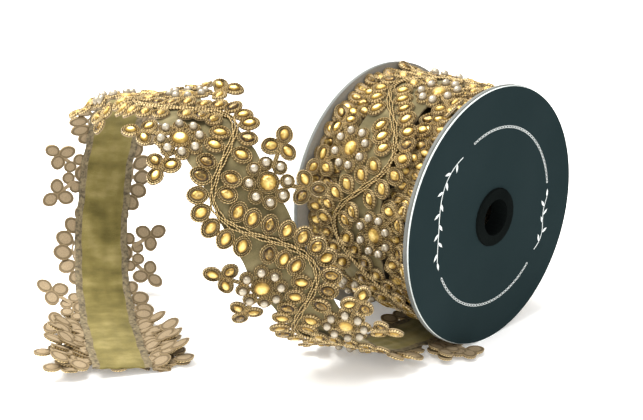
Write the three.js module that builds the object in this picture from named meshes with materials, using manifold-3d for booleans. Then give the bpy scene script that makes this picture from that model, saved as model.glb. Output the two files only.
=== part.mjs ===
// A reel of beaded velvet ribbon with a loose end that rises in a coil beside it.
// Millimetres, +Z up. The spool's axis runs along X and its near face looks towards +X.

import * as THREE from 'three';
import { mergeVertices } from 'three/addons/utils/BufferGeometryUtils.js';
import Module from 'manifold-3d';

const wasm = await Module();
wasm.setup();

// Reel sizes
const flangeRadius = 89;
const flatSpotDepth = 0.55;
const boardThickness = 2.6;
const cardThickness = 1.3;
const innerWidth = 93;
const glueGap = 0.3;
const axisHeight = flangeRadius - flatSpotDepth;
const holeRadius = 15.5;
const boreRadius = 12.6;
const hubTubeRadius = 15.2;
const hubRingRadius = 20.2;
const hubRingHeight = 1.4;
const hubRingTaper = 0.6;
const hubDepth = 12;
const coreOuterRadius = 38;
const coreInnerRadius = 35;
const roundSides = 56;
const hubSides = 24;

// Wound ribbon sizes
const ribbonWidth = 38.6;
const ribbonThickness = 1;
const laceThickness = 1.4;
const laceGap = 0.5;
const rollBandRadius = 79;
const rollSideRadius = 75.4;
const rollInnerRadius = coreOuterRadius + glueGap;
const rollHalfWidth = 45.5;
const rollShift = -2;
const rollZeroTurn = 35.7;
const petalSink = 0.5;
const curlStart = 32;
const curlRadius = 13.5;
const rollSides = 72;

// Lace pattern: one repeat holds a rosette at the left edge and one at the right edge
const repeatLength = 108;
const rosetteStep = 50;
const rosetteAcross = 16.5;
const rosetteRadius = 15.6;
const rosetteDome = 2;
const domeRadius = 6;
const petalLength = 12.4;
const petalWidth = 9.6;
const trefoilLeans = [-44, 35];
const trefoilReach = 25;
const trefoilRing = 6.5;
const trefoilAcross = 37;
const trefoilHalf = 12;
const petalSpread = 123;
const stemWidth = 2.6;
const vineSwing = 19.3;
const vineWidth = 4.4;
const linkReaches = [-22, 23];
const petalArc = 138;

// How finely the lace is drawn
const vineStep = 9;
const domeSides = 6;
const petalSides = 6;
const rosetteSides = 10;
const straightness = 0.3;
const smallestGap = 10;
const longestEdge = 16;
const rollLongestEdge = 18;

// Leaves that stand in a row on both sides of the vine's bend at each rosette: where they
// stand along it, how far off it, and how many degrees they lean forward
const outerFeet = [-14.5, -7.5, -1, 6, 13.5, 21];
const innerFeet = [-9, 12.6];
const leafReach = 8.65;
const leafLean = 4.5;

// Loose end: its start under the roll, and how it bends, twists and swerves in degrees
// per 100 mm at each length along it
const tailStart = { across: 15, behind: 25, radius: 79.8 };
const tailStartSlope = -18.3;
const tailFlangeClear = 60;
const flangeSideAcross = ribbonWidth / 2 + 4;
const tailRows = [
  { at: 0, bend: 8, twist: 0, swerve: 0 },
  { at: 10, bend: 28, twist: 0, swerve: 0 },
  { at: 25, bend: 72, twist: 0, swerve: 0 },
  { at: 40, bend: 28, twist: 0, swerve: 0 },
  { at: 48, bend: 0, twist: 0, swerve: 0 },
  { at: 65, bend: 12, twist: 0, swerve: 0 },
  { at: 90, bend: 40, twist: -20, swerve: 6 },
  { at: 130, bend: 68, twist: -35, swerve: 10 },
  { at: 170, bend: 36, twist: -42, swerve: 8 },
  { at: 200, bend: 36, twist: -46, swerve: 6 },
  { at: 245, bend: 50, twist: -38, swerve: 5 },
  { at: 290, bend: 82, twist: -25, swerve: 0 },
  { at: 330, bend: 62, twist: -20, swerve: 0 },
  { at: 380, bend: 22, twist: -15, swerve: 6 },
  { at: 430, bend: 25, twist: -5, swerve: 6 },
  { at: 470, bend: 76, twist: 0, swerve: -2 },
  { at: 510, bend: 80, twist: -5, swerve: -13 },
  { at: 550, bend: 64, twist: -15, swerve: -5 },
  { at: 600, bend: 76, twist: -14, swerve: 6 },
  { at: 640, bend: 70, twist: 1, swerve: 0 },
  { at: 690, bend: 8, twist: 1, swerve: 0 },
  { at: 745, bend: -15, twist: 0, swerve: 0 },
];
const tailPhase = 321;
const tailLength = tailRows[tailRows.length - 1].at;
const tailLaceStart = 3;
const ribbonStep = 12;
const ribbonRows = 3;

// Where the roll's lace starts and stops, so that the loose end has room under the roll
const rollLaceStart = -283;
const rollLaceEnd = 134;

// Trefoils that spread out over the floor at the cut end: where their stalk leaves the vine,
// how far across they stand, and how many degrees they lean forward
const spreadTrefoils = [
  { foot: -388, across: -42, lean: -8 },
  { foot: -404, across: -38, lean: -19 },
  { foot: -404, across: 34, lean: -12 },
];

// The squeezed trefoils that stick out under the near flange
const tuckedTrefoils = [
  { rosette: 266, lean: -45, spreads: [-petalSpread, 0, petalSpread] },
  { rosette: 266, lean: -8, spreads: [-95, -20, 50] },
];

// Size of the blocks that cut the pieces off at the floor and at the loose end
const cutDepth = 40;
const floorSize = 1000;
const sameSpot = 1e-4;

// Geometry helpers

function toSolid(geometry) {
  const bare = geometry.clone();
  bare.deleteAttribute('normal');
  bare.deleteAttribute('uv');
  const merged = mergeVertices(bare, sameSpot);
  return new wasm.Manifold(new wasm.Mesh({
    numProp: 3,
    vertProperties: new Float32Array(merged.attributes.position.array),
    triVerts: new Uint32Array(merged.index.array),
  }));
}

function fromSolid(solid) {
  const mesh = solid.getMesh();
  const geometry = new THREE.BufferGeometry();
  geometry.setAttribute('position', new THREE.BufferAttribute(mesh.vertProperties, 3));
  geometry.setIndex(new THREE.BufferAttribute(mesh.triVerts, 1));
  return geometry;
}

// Joins many solids in pairs, which keeps each join small
function joinAll(solids) {
  let rest = solids;
  while (rest.length > 1) {
    const next = [];
    for (let i = 0; i < rest.length; i += 2) {
      next.push(i + 1 < rest.length ? rest[i].add(rest[i + 1]) : rest[i]);
    }
    rest = next;
  }
  return rest[0];
}

// Halves every edge longer than the limit, the same way in both faces that share it
function splitLongEdges(geometry, limit) {
  const points = Array.from(geometry.attributes.position.array);
  let faces = [];
  const index = geometry.index.array;
  for (let i = 0; i < index.length; i += 3) faces.push([index[i], index[i + 1], index[i + 2]]);
  let changed = true;
  while (changed) {
    changed = false;
    const middles = new Map();
    const middleOf = (a, b) => {
      const length = Math.hypot(...[0, 1, 2].map((k) => points[3 * a + k] - points[3 * b + k]));
      if (length <= limit) return -1;
      const key = a < b ? `${a},${b}` : `${b},${a}`;
      if (!middles.has(key)) {
        middles.set(key, points.length / 3);
        points.push(...[0, 1, 2].map((k) => (points[3 * a + k] + points[3 * b + k]) / 2));
      }
      return middles.get(key);
    };
    const next = [];
    for (const [a, b, c] of faces) {
      const ab = middleOf(a, b);
      const bc = middleOf(b, c);
      const ca = middleOf(c, a);
      const count = (ab >= 0) + (bc >= 0) + (ca >= 0);
      if (count > 0) changed = true;
      if (count === 0) next.push([a, b, c]);
      else if (count === 3) next.push([a, ab, ca], [ab, b, bc], [ca, bc, c], [ab, bc, ca]);
      else next.push(...splitPart([a, b, c], [ab, bc, ca], count));
    }
    faces = next;
  }
  const result = new THREE.BufferGeometry();
  result.setAttribute('position', new THREE.Float32BufferAttribute(points, 3));
  result.setIndex(faces.flat());
  return result;
}

// Splits a face that has one or two long edges
function splitPart(corners, middles, count) {
  let turn = 0;
  while (!(middles[turn] >= 0 && (count === 1 || middles[(turn + 2) % 3] < 0))) turn += 1;
  const [a, b, c] = [0, 1, 2].map((k) => corners[(turn + k) % 3]);
  const [ab, bc] = [0, 1].map((k) => middles[(turn + k) % 3]);
  if (count === 1) return [[a, ab, c], [ab, b, c]];
  return [[ab, b, bc], [a, ab, bc], [a, bc, c]];
}

function bendGeometry(geometry, place) {
  const position = geometry.attributes.position;
  for (let i = 0; i < position.count; i += 1) {
    const point = place(position.getX(i), position.getY(i), position.getZ(i));
    position.setXYZ(i, point.x, point.y, point.z);
  }
  return geometry;
}

// A flat plate with the outline given as [along, across] corners
function plate(corners, bottom = 0, top = 1) {
  const shape = new THREE.Shape(corners.map(([x, y]) => new THREE.Vector2(x, y)));
  return raised(shape, bottom, top);
}

function raised(shape, bottom, top) {
  const geometry = new THREE.ExtrudeGeometry(shape, { depth: top - bottom, bevelEnabled: false });
  geometry.translate(0, 0, bottom);
  return toSolid(geometry);
}

function disc(along, across, radius, sides, bottom, top) {
  const corners = [];
  for (let k = 0; k < sides; k += 1) {
    const angle = (2 * Math.PI * (k + 0.5)) / sides;
    corners.push([along + radius * Math.cos(angle), across + radius * Math.sin(angle)]);
  }
  return plate(corners, bottom, top);
}

function bar(from, to, width) {
  const reach = Math.hypot(to[0] - from[0], to[1] - from[1]);
  const across = [(-(to[1] - from[1]) / reach) * width / 2, ((to[0] - from[0]) / reach) * width / 2];
  return plate([
    [from[0] - across[0], from[1] - across[1]],
    [to[0] - across[0], to[1] - across[1]],
    [to[0] + across[0], to[1] + across[1]],
    [from[0] + across[0], from[1] + across[1]],
  ]);
}

// An oval leaf that points along the turn from the across direction, with a stalk behind it
function leaf(along, across, turn, stalk) {
  const pointing = [Math.sin(turn), Math.cos(turn)];
  const corner = (out, side) => [
    along + out * pointing[0] + side * pointing[1],
    across + out * pointing[1] - side * pointing[0],
  ];
  const corners = [corner(-stalk, -stemWidth / 2)];
  for (let k = 0; k < petalSides; k += 1) {
    const angle = THREE.MathUtils.degToRad(petalArc * ((2 * k) / (petalSides - 1) - 1));
    corners.push(corner((petalLength / 2) * Math.cos(angle), (petalWidth / 2) * Math.sin(angle)));
  }
  corners.push(corner(-stalk, stemWidth / 2));
  return plate(corners);
}

// Every loop of edges round the bottom face of a solid that stands flat on height 0
function bottomLoops(solid) {
  const geometry = fromSolid(solid);
  const { position } = geometry.attributes;
  const index = geometry.index.array;
  const edges = new Map();
  for (let i = 0; i < index.length; i += 3) {
    const face = [index[i], index[i + 1], index[i + 2]];
    if (face.some((corner) => Math.abs(position.getZ(corner)) > sameSpot)) continue;
    face.forEach((corner, k) => {
      const next = face[(k + 1) % 3];
      if (edges.get(next)?.has(corner)) edges.get(next).delete(corner);
      else edges.set(corner, (edges.get(corner) ?? new Set()).add(next));
    });
  }
  const loops = [];
  for (const first of edges.keys()) {
    while (edges.get(first).size > 0) {
      const loop = [];
      let corner = first;
      do {
        loop.push(new THREE.Vector2(position.getX(corner), position.getY(corner)));
        const [next] = edges.get(corner);
        edges.get(corner).delete(next);
        corner = next;
      } while (corner !== first);
      loops.push(loop.reverse());
    }
  }
  return loops;
}

// Leaves out the corners that stand almost on a straight line
function straightened(loop) {
  let rest = loop;
  let changed = true;
  while (changed) {
    const corner = rest.findIndex((middle, k) => {
      const before = rest[(k + rest.length - 1) % rest.length];
      const after = rest[(k + 1) % rest.length];
      const chord = after.clone().sub(before);
      const offLine = Math.abs(chord.cross(middle.clone().sub(before))) / chord.length();
      return offLine < straightness;
    });
    changed = corner >= 0;
    if (changed) rest = rest.filter((middle, k) => k !== corner);
  }
  return rest;
}

// One plate with the joined outline of many, its small gaps closed
function mergedPlate(solids, bottom, top) {
  const loops = bottomLoops(joinAll(solids)).map(straightened);
  const outer = loops.filter((loop) => THREE.ShapeUtils.area(loop) > 0);
  if (outer.length !== 1) throw new Error(`the lace falls into ${outer.length} parts`);
  const shape = new THREE.Shape(outer[0]);
  shape.holes = loops.filter((loop) => THREE.ShapeUtils.area(loop) < -smallestGap)
    .map((loop) => new THREE.Path(loop));
  return raised(shape, bottom, top);
}

// The lace's flat pattern

function vineAcross(along) {
  const place = THREE.MathUtils.euclideanModulo(along, repeatLength);
  if (place < rosetteStep) return vineSwing * Math.cos((Math.PI * place) / rosetteStep);
  return -vineSwing * Math.cos((Math.PI * (place - rosetteStep)) / (repeatLength - rosetteStep));
}

function vineSlope(along) {
  return (vineAcross(along + 1) - vineAcross(along - 1)) / 2;
}

function vine(from, to) {
  const upper = [];
  const lower = [];
  const steps = Math.round((to - from) / vineStep);
  for (let k = 0; k <= steps; k += 1) {
    const along = from + ((to - from) * k) / steps;
    const slope = vineSlope(along);
    const stretch = vineWidth / 2 / Math.hypot(1, slope);
    upper.push([along - slope * stretch, vineAcross(along) + stretch]);
    lower.push([along + slope * stretch, vineAcross(along) - stretch]);
  }
  return plate([...lower, ...upper.reverse()]);
}

// Three leaves round a heart, on a stalk from a root
function stalkedTrefoil(root, heart, outward, spreads = [-petalSpread, 0, petalSpread]) {
  const petals = spreads.map((spread) => {
    const aim = outward + THREE.MathUtils.degToRad(spread);
    const middle = [heart[0] + trefoilRing * Math.sin(aim), heart[1] + trefoilRing * Math.cos(aim)];
    return leaf(middle[0], middle[1], aim, trefoilRing);
  });
  return [bar(root, heart, stemWidth), ...petals];
}

function trefoil(rosette, side, lean, spreads) {
  const turn = THREE.MathUtils.degToRad(lean);
  const heart = [
    rosette + trefoilReach * Math.sin(turn),
    side * (rosetteAcross + trefoilReach * Math.cos(turn)),
  ];
  const outward = side > 0 ? turn : Math.PI - turn;
  return stalkedTrefoil([rosette, side * rosetteAcross], heart, outward, spreads);
}

function spreadTrefoil(row) {
  const lean = THREE.MathUtils.degToRad(row.lean);
  const rise = Math.abs(row.across - vineAcross(row.foot));
  const heart = [row.foot + rise * Math.tan(lean), row.across];
  const outward = row.across > 0 ? lean : Math.PI - lean;
  return stalkedTrefoil([row.foot, vineAcross(row.foot)], heart, outward);
}

function rosetteLinks(rosette, side, from, to) {
  return linkReaches.map((reach) => rosette + reach)
    .filter((foot) => foot > from && foot < to)
    .map((foot) => bar([rosette, side * rosetteAcross], [foot, vineAcross(foot)], stemWidth));
}

// Where the leaves at some feet along the vine stand, on its left side (-1) or right side (1)
function leafRow(rosette, feet, side) {
  return feet.map((reach) => {
    const foot = rosette + reach;
    const slope = vineSlope(foot);
    const off = (side * leafReach) / Math.hypot(1, slope);
    const lean = THREE.MathUtils.degToRad(leafLean);
    const aim = side > 0 ? lean - Math.atan(slope) : Math.PI - Math.atan(slope) - lean;
    return { along: foot - off * slope, across: vineAcross(foot) + off, aim };
  });
}

function leaves(places) {
  return places.map((place) => leaf(place.along, place.across, place.aim, leafReach));
}

// One plate of lace between two places along it, with a dome in each rosette.
// keeps(along, across, reach) says whether a piece of that reach may stand there.
function laceSolid(from, to, bottom, top, keeps, extras = []) {
  const flats = [vine(from, to), ...extras];
  const domes = [];
  for (let repeat = Math.floor(from / repeatLength); repeat <= Math.ceil(to / repeatLength); repeat += 1) {
    for (const [offset, side] of [[0, -1], [rosetteStep, 1]]) {
      const rosette = repeat * repeatLength + offset;
      if (keeps(rosette, side * rosetteAcross, rosetteRadius)) {
        flats.push(disc(rosette, side * rosetteAcross, rosetteRadius, rosetteSides));
        flats.push(...rosetteLinks(rosette, side, from, to));
        const inner = leafRow(rosette, innerFeet, side);
        flats.push(...leaves(inner.filter((place) => keeps(place.along, place.across, petalLength / 2))));
        domes.push(disc(rosette, side * rosetteAcross, domeRadius, domeSides, bottom, top + rosetteDome));
        for (const lean of trefoilLeans) {
          const reach = trefoilReach * Math.sin(THREE.MathUtils.degToRad(lean));
          if (keeps(rosette + reach, side * trefoilAcross, trefoilHalf)) {
            flats.push(...trefoil(rosette, side, lean));
          }
        }
      }
      const fan = leafRow(rosette, outerFeet, -side);
      if (fan.every((place) => keeps(place.along, place.across, petalLength / 2))) {
        flats.push(...leaves(fan));
      }
    }
  }
  return joinAll([mergedPlate(flats, bottom, top), ...domes]);
}

// Reel pieces, turned about the spool's axis

function turned(profile, sides) {
  const closed = [...profile, profile[0]].map(([radius, along]) => new THREE.Vector2(radius, along));
  const geometry = new THREE.LatheGeometry(closed, sides);
  geometry.rotateZ(-Math.PI / 2);
  geometry.rotateX(Math.PI / sides);
  geometry.translate(0, 0, axisHeight);
  return toSolid(geometry);
}

function ringSolid(innerRadius, outerRadius, from, to, sides) {
  return turned([[innerRadius, from], [outerRadius, from], [outerRadius, to], [innerRadius, to]], sides);
}

function belowFloor() {
  const box = new THREE.BoxGeometry(floorSize, floorSize, cutDepth);
  box.translate(0, 0, -cutDepth / 2);
  return toSolid(box);
}

const boardOuter = innerWidth / 2 + boardThickness;
const cardInner = boardOuter + glueGap;
const cardOuter = cardInner + cardThickness;

function flangeBoard(side) {
  const [near, far] = [innerWidth / 2, boardOuter].map((along) => side * along);
  const solid = ringSolid(holeRadius, flangeRadius, Math.min(near, far), Math.max(near, far), roundSides);
  return fromSolid(solid.subtract(belowFloor()));
}

function faceCard(side) {
  const [near, far] = [cardInner, cardOuter].map((along) => side * along);
  const solid = ringSolid(holeRadius, flangeRadius, Math.min(near, far), Math.max(near, far), roundSides);
  return fromSolid(solid.subtract(belowFloor()));
}

function hub(side) {
  const ringFoot = cardOuter + glueGap;
  const profile = [
    [boreRadius, ringFoot - hubDepth],
    [hubTubeRadius, ringFoot - hubDepth],
    [hubTubeRadius, ringFoot],
    [hubRingRadius, ringFoot],
    [hubRingRadius - hubRingTaper, ringFoot + hubRingHeight],
    [boreRadius, ringFoot + hubRingHeight],
  ];
  const sided = side > 0 ? profile : profile.map(([radius, along]) => [radius, -along]).reverse();
  return fromSolid(turned(sided, hubSides));
}

function coreTube() {
  const end = innerWidth / 2 - glueGap;
  return fromSolid(ringSolid(coreInnerRadius, coreOuterRadius, -end, end, hubSides));
}

// Wound ribbon: the turns as one body, with the outer turn's lace standing on it

function placeOnRoll(along, across, height) {
  const laid = rollShift + across;
  const side = Math.sign(laid);
  const past = Math.max(0, Math.abs(laid) - curlStart);
  const curl = past / curlRadius;
  const offAxis = past > 0 ? side * (curlStart + curlRadius * Math.sin(curl)) : laid;
  const base = rollBandRadius - petalSink;
  const radius = base + curlRadius * (1 - Math.cos(curl)) + height * Math.cos(curl);
  const turn = THREE.MathUtils.degToRad(rollZeroTurn) - along / rollBandRadius;
  return new THREE.Vector3(
    offAxis - side * height * Math.sin(curl),
    -radius * Math.cos(turn),
    axisHeight + radius * Math.sin(turn),
  );
}

function ribbonRoll() {
  const bandHalf = ribbonWidth / 2;
  const body = turned([
    [rollInnerRadius, -rollHalfWidth],
    [rollSideRadius, -rollHalfWidth],
    [rollSideRadius, rollShift - bandHalf],
    [rollBandRadius, rollShift - bandHalf],
    [rollBandRadius, rollShift + bandHalf],
    [rollSideRadius, rollShift + bandHalf],
    [rollSideRadius, rollHalfWidth],
    [rollInnerRadius, rollHalfWidth],
  ], rollSides);
  const inside = (along, across, reach) => {
    return along - reach >= rollLaceStart && along + reach <= rollLaceEnd;
  };
  const top = laceThickness + petalSink;
  const flat = laceSolid(rollLaceStart, rollLaceEnd, 0, top, inside);
  const bent = bendGeometry(splitLongEdges(fromSolid(flat), rollLongestEdge), placeOnRoll);
  return fromSolid(body.add(toSolid(bent)));
}

// Loose end: frames along its middle line

function tailFrames() {
  const slope = THREE.MathUtils.degToRad(tailStartSlope);
  let forward = new THREE.Vector3(0, -Math.cos(slope), Math.sin(slope));
  let across = new THREE.Vector3(1, 0, 0);
  let outward = new THREE.Vector3().crossVectors(across, forward);
  const belowAxis = Math.sqrt(tailStart.radius ** 2 - tailStart.behind ** 2);
  const point = new THREE.Vector3(tailStart.across, tailStart.behind, axisHeight - belowAxis);
  const frames = [];
  for (let at = 0; at <= tailLength; at += 1) {
    frames.push({ point: point.clone(), forward, across, outward });
    const rate = tailRate(at + 0.5);
    const nextForward = forward.clone()
      .addScaledVector(outward, -rate.bend)
      .addScaledVector(across, rate.swerve)
      .normalize();
    const nextAcross = across.clone()
      .addScaledVector(outward, rate.twist)
      .addScaledVector(forward, -rate.swerve);
    nextAcross.addScaledVector(nextForward, -nextAcross.dot(nextForward)).normalize();
    forward = nextForward;
    across = nextAcross;
    outward = new THREE.Vector3().crossVectors(across, forward);
    point.add(forward);
  }
  return frames;
}

// Turning rates in radians per millimetre at a length along the loose end
function tailRate(at) {
  let row = 0;
  while (row < tailRows.length - 2 && tailRows[row + 1].at < at) row += 1;
  const [before, after] = [tailRows[row], tailRows[row + 1]];
  const share = THREE.MathUtils.clamp((at - before.at) / (after.at - before.at), 0, 1);
  const rate = (name) => {
    const perHundred = THREE.MathUtils.lerp(before[name], after[name], share);
    return THREE.MathUtils.degToRad(perHundred) / 100;
  };
  return { bend: rate('bend'), twist: rate('twist'), swerve: rate('swerve') };
}

const frames = tailFrames();

function placeOnTail(along, across, height) {
  const at = THREE.MathUtils.clamp(tailPhase - along, 0, tailLength);
  const index = Math.min(Math.floor(at), frames.length - 2);
  const share = at - index;
  const mix = (name) => frames[index][name].clone().lerp(frames[index + 1][name], share);
  return mix('point')
    .addScaledVector(mix('across'), across)
    .addScaledVector(mix('outward'), height);
}

function tailRibbon() {
  const lengthSteps = Math.round(tailLength / ribbonStep);
  const flat = new THREE.BoxGeometry(tailLength, ribbonWidth, ribbonThickness, lengthSteps, ribbonRows, 1);
  flat.translate(tailPhase - tailLength / 2, 0, 0);
  return bendGeometry(flat, placeOnTail);
}

function tailLace() {
  const bottom = ribbonThickness / 2 + laceGap;
  const from = tailPhase - tailLength;
  const to = tailPhase - tailLaceStart;
  const clear = (along, across, reach) => {
    const underFlange = along + reach > tailPhase - tailFlangeClear;
    return along + reach < to && along + reach > from && !(underFlange && across > flangeSideAcross);
  };
  const tucked = tuckedTrefoils.flatMap((row) => trefoil(row.rosette, 1, row.lean, row.spreads));
  const extras = [...tucked, ...spreadTrefoils.flatMap(spreadTrefoil)];
  const whole = laceSolid(from - repeatLength / 2, to, bottom, bottom + laceThickness, clear, extras);
  const cutOff = new THREE.BoxGeometry(repeatLength, 4 * ribbonWidth, cutDepth);
  cutOff.translate(from - repeatLength / 2, 0, 0);
  const flat = fromSolid(whole.subtract(toSolid(cutOff)));
  const bent = bendGeometry(splitLongEdges(flat, longestEdge), placeOnTail);
  return fromSolid(toSolid(bent).subtract(belowFloor()));
}

// The reel as a scene graph

const greyBoard = { color: 0x8c857a, roughness: 0.9, metalness: 0 };
const darkCard = { color: 0x293436, roughness: 0.55, metalness: 0 };
const blackPlastic = { color: 0x161a1b, roughness: 0.4, metalness: 0 };
const brownTube = { color: 0x7a6448, roughness: 0.95, metalness: 0 };
const goldLace = { color: 0xa5834a, roughness: 0.55, metalness: 0.25 };
const oliveVelvet = { color: 0x80754a, roughness: 0.85, metalness: 0 };

const reel = new THREE.Group();

function addPiece(name, geometry, finish) {
  const bare = geometry.index ? geometry.toNonIndexed() : geometry;
  bare.computeVertexNormals();
  const mesh = new THREE.Mesh(bare, new THREE.MeshStandardMaterial(finish));
  mesh.name = name;
  reel.add(mesh);
}

addPiece('flange_board_near', flangeBoard(1), greyBoard);
addPiece('flange_board_far', flangeBoard(-1), greyBoard);
addPiece('face_card_near', faceCard(1), darkCard);
addPiece('face_card_far', faceCard(-1), darkCard);
addPiece('hub_near', hub(1), blackPlastic);
addPiece('hub_far', hub(-1), blackPlastic);
addPiece('core_tube', coreTube(), brownTube);
addPiece('ribbon_roll', ribbonRoll(), goldLace);
addPiece('tail_ribbon', tailRibbon(), oliveVelvet);
addPiece('tail_lace', tailLace(), goldLace);

// The whole part stands with the middle of its outline on the origin
const outline = new THREE.Box3().setFromObject(reel);
const middle = outline.getCenter(new THREE.Vector3());
for (const piece of reel.children) piece.position.set(-middle.x, -middle.y, 0);

export default reel;
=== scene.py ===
import math
import random

import bpy
import numpy as np
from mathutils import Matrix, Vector


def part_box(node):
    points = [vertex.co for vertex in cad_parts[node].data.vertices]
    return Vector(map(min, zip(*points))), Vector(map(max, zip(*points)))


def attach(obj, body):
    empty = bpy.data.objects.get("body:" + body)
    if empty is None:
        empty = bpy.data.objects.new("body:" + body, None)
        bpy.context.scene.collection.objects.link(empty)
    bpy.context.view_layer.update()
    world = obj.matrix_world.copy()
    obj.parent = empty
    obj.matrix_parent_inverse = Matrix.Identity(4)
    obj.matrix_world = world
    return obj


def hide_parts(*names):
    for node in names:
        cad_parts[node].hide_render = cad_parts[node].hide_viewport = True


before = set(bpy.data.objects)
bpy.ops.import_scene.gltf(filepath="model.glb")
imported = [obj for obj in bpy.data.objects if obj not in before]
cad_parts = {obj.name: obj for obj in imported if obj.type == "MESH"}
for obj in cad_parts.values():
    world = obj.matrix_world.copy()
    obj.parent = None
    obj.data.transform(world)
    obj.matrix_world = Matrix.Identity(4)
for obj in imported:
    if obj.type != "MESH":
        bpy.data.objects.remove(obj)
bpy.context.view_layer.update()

random.seed(7)
print("frame loaded")

nearHub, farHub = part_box("hub_near"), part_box("hub_far")
reelMiddle = Vector(((nearHub[1].x + farHub[0].x) / 2, (nearHub[0].y + nearHub[1].y) / 2, 0))
# the reel's axis runs along x through this point
axisX, axisY, axisZ = reelMiddle.x, reelMiddle.y, (nearHub[0].z + nearHub[1].z) / 2
reel = {
    "flangeRadius": 0.089,
    "boardInner": 0.0465,
    "boardThickness": 0.0026,
    "cardThickness": 0.0013,
    "glueGap": 0.0003,
    "cardInset": 0.0004,
    "holeRadius": 0.0155,
    "lip": 0.0006,
}
cardInner = reel["boardInner"] + reel["boardThickness"] + reel["glueGap"]
cardOuter = cardInner + reel["cardThickness"]

roll = {
    "bandRadius": 0.079,
    "petalSink": 0.0005,
    "shift": -0.0013,
    "zeroTurn": math.radians(35.7),
    "looseTop": 0.0045,
    "curlStart": 0.035,
    "curlRadius": 0.0135,
    "pressFrom": 0.0432,
    "pressTo": 0.0462,
    "laceFrom": -0.283,
    "laceTo": 0.134,
    "seamAt": -0.290,
    "seamGap": 0.004,
    "deeperFrom": 0.021,
    "coreRadius": 0.038,
    "coreGap": 0.0003,
    "stackRadius": 0.0745,
    "halfWidth": 0.0455,
}
turnLength = 2 * math.pi * roll["bandRadius"]

ribbon = {
    "width": 0.0386,
    "thickness": 0.001,
    "selvedge": 0.0042,
    "tailStart": (0.015, 0.025, 0.0798),
    "startSlope": math.radians(-18.3),
    "phase": 0.321,
    "step": 0.001,
    "flangeClear": 0.060,
    "flangeSideClear": 0.004,
    "endClear": 0.003,
    "restHeight": 0.0002,
    "pressedHeight": 0.0006,
    "rimClear": 0.0003,
}

# at (mm), then bend, twist and swerve in degrees per 100 mm
tailRows = [
    (0, 8, 0, 0), (10, 28, 0, 0), (25, 72, 0, 0), (40, 28, 0, 0), (48, 0, 0, 0), (65, 12, 0, 0),
    (90, 40, -20, 6), (130, 68, -35, 10), (170, 36, -42, 8), (200, 36, -46, 6), (245, 50, -38, 5),
    (290, 82, -25, 0), (330, 62, -20, 0), (380, 22, -15, 6), (430, 25, -5, 6), (470, 76, 0, -2),
    (510, 80, -5, -13), (550, 64, -15, -5), (600, 76, -14, 6), (640, 70, 1, 0), (690, 8, 1, 0),
    (745, -15, 0, 0),
]
tailLength = tailRows[-1][0] / 1000

pattern = {
    "repeat": 0.108,
    "rosetteStep": 0.050,
    "rosetteAcross": 0.0165,
    "rosetteReach": 0.0156,
    "vineSwing": 0.0193,
    "vineCord": 0.0014,
    "vineStep": 0.0018,
    "stalkCord": 0.0010,
    "leafReach": 0.00865,
    "leafClear": 0.0058,
    "trefoilClear": 0.012,
    "leafLean": math.radians(4.5),
    "petalLength": 0.0140,
    "petalWidth": 0.0116,
    "gemLength": 0.0089,
    "gemWidth": 0.0062,
    "trefoilLeans": (math.radians(-44), math.radians(35)),
    "trefoilReach": 0.025,
    "trefoilRing": 0.0062,
    "petalSpread": math.radians(123),
    "bigGem": 0.0106,
    "bigRing": 0.0144,
    "pearlRing": 0.0117,
    "pearlSetting": 0.0096,
    "pearlRadius": 0.0027,
    "pearls": 8,
    "padThickness": 0.0007,
    "rimCords": 2,
    "laceHeight": 0.0011,
    "padSink": 0.0005,
    "ringRise": 0.0001,
    "stoneRise": 0.0003,
    "stalkFrom": 0.0085,
    "tiltFrom": 0.0260,
}

# Where leaves stand along the vine from each rosette, in mm: beyond it, and between it and the rosette
outerFeet = (-14.5, -7.5, -1, 6, 13.5, 21)
innerFeet = {1: (-17.8, -9, 12.6, 21, 29, 36.5), -1: (-25.5, -17.8, -9, 12.6, 21, 29)}
# rosette and lean in degrees, then each leaf's turn
tuckedTrefoils = [(266, -45, (-123, 0, 123)), (266, -8, (-95, -20, 50))]
# where the stalk leaves the vine, how far across the heart stands, and lean in degrees
spreadTrefoils = [(-388, -42, -8), (-404, -38, -19), (-404, 34, -12)]
# rows of leaves bunched at the foot and between the turns: how far across, first and last along, and step
footBunch = {
    "rows": [(25, -417, -344, 7), (32.5, -416, -352, 8), (40, -417, -366, 9)],
    "flare": (0.05, 0.6),
}
turnBunch = {
    "rows": [(32, 0, 490, 10), (40, 4, 492, 9)],
    "flare": (-0.12, 0.05),
}
# where the lace's edge hangs or lifts: first and last along, side, start across (mm), and degrees
edgeCurls = [(-160, -36, -1, 20, -38), (-88, -30, 1, 27, 46)]
curlFade = {"along": 28, "across": 0.010}


# Small helpers

def deselectAll():
    if bpy.context.object and bpy.context.object.mode != "OBJECT":
        bpy.ops.object.mode_set(mode="OBJECT")
    bpy.ops.object.select_all(action="DESELECT")


def activate(obj):
    deselectAll()
    obj.select_set(True)
    bpy.context.view_layer.objects.active = obj


def meshObject(name, verts, faces, uv=None, slots=None, materials=()):
    mesh = bpy.data.meshes.new(name)
    mesh.from_pydata(np.asarray(verts).tolist(), [], faces)
    if uv is not None:
        layer = mesh.uv_layers.new(name="along")
        layer.data.foreach_set("uv", np.asarray(uv, np.float32).ravel())
    for material in materials:
        mesh.materials.append(material)
    if slots is not None:
        mesh.polygons.foreach_set("material_index", np.asarray(slots, np.int32))
    mesh.update()
    obj = bpy.data.objects.new(name, mesh)
    bpy.context.scene.collection.objects.link(obj)
    return obj


def smoothByAngle(obj, degrees):
    activate(obj)
    bpy.ops.object.shade_smooth_by_angle(angle=math.radians(degrees))


def applyModifier(obj, kind, **settings):
    modifier = obj.modifiers.new(kind, kind)
    for key, value in settings.items():
        setattr(modifier, key, value)
    activate(obj)
    bpy.ops.object.modifier_apply(modifier=modifier.name)


def editAll():
    bpy.ops.object.mode_set(mode="EDIT")
    bpy.ops.mesh.select_all(action="SELECT")


def leaveEdit():
    bpy.ops.object.mode_set(mode="OBJECT")


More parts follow.
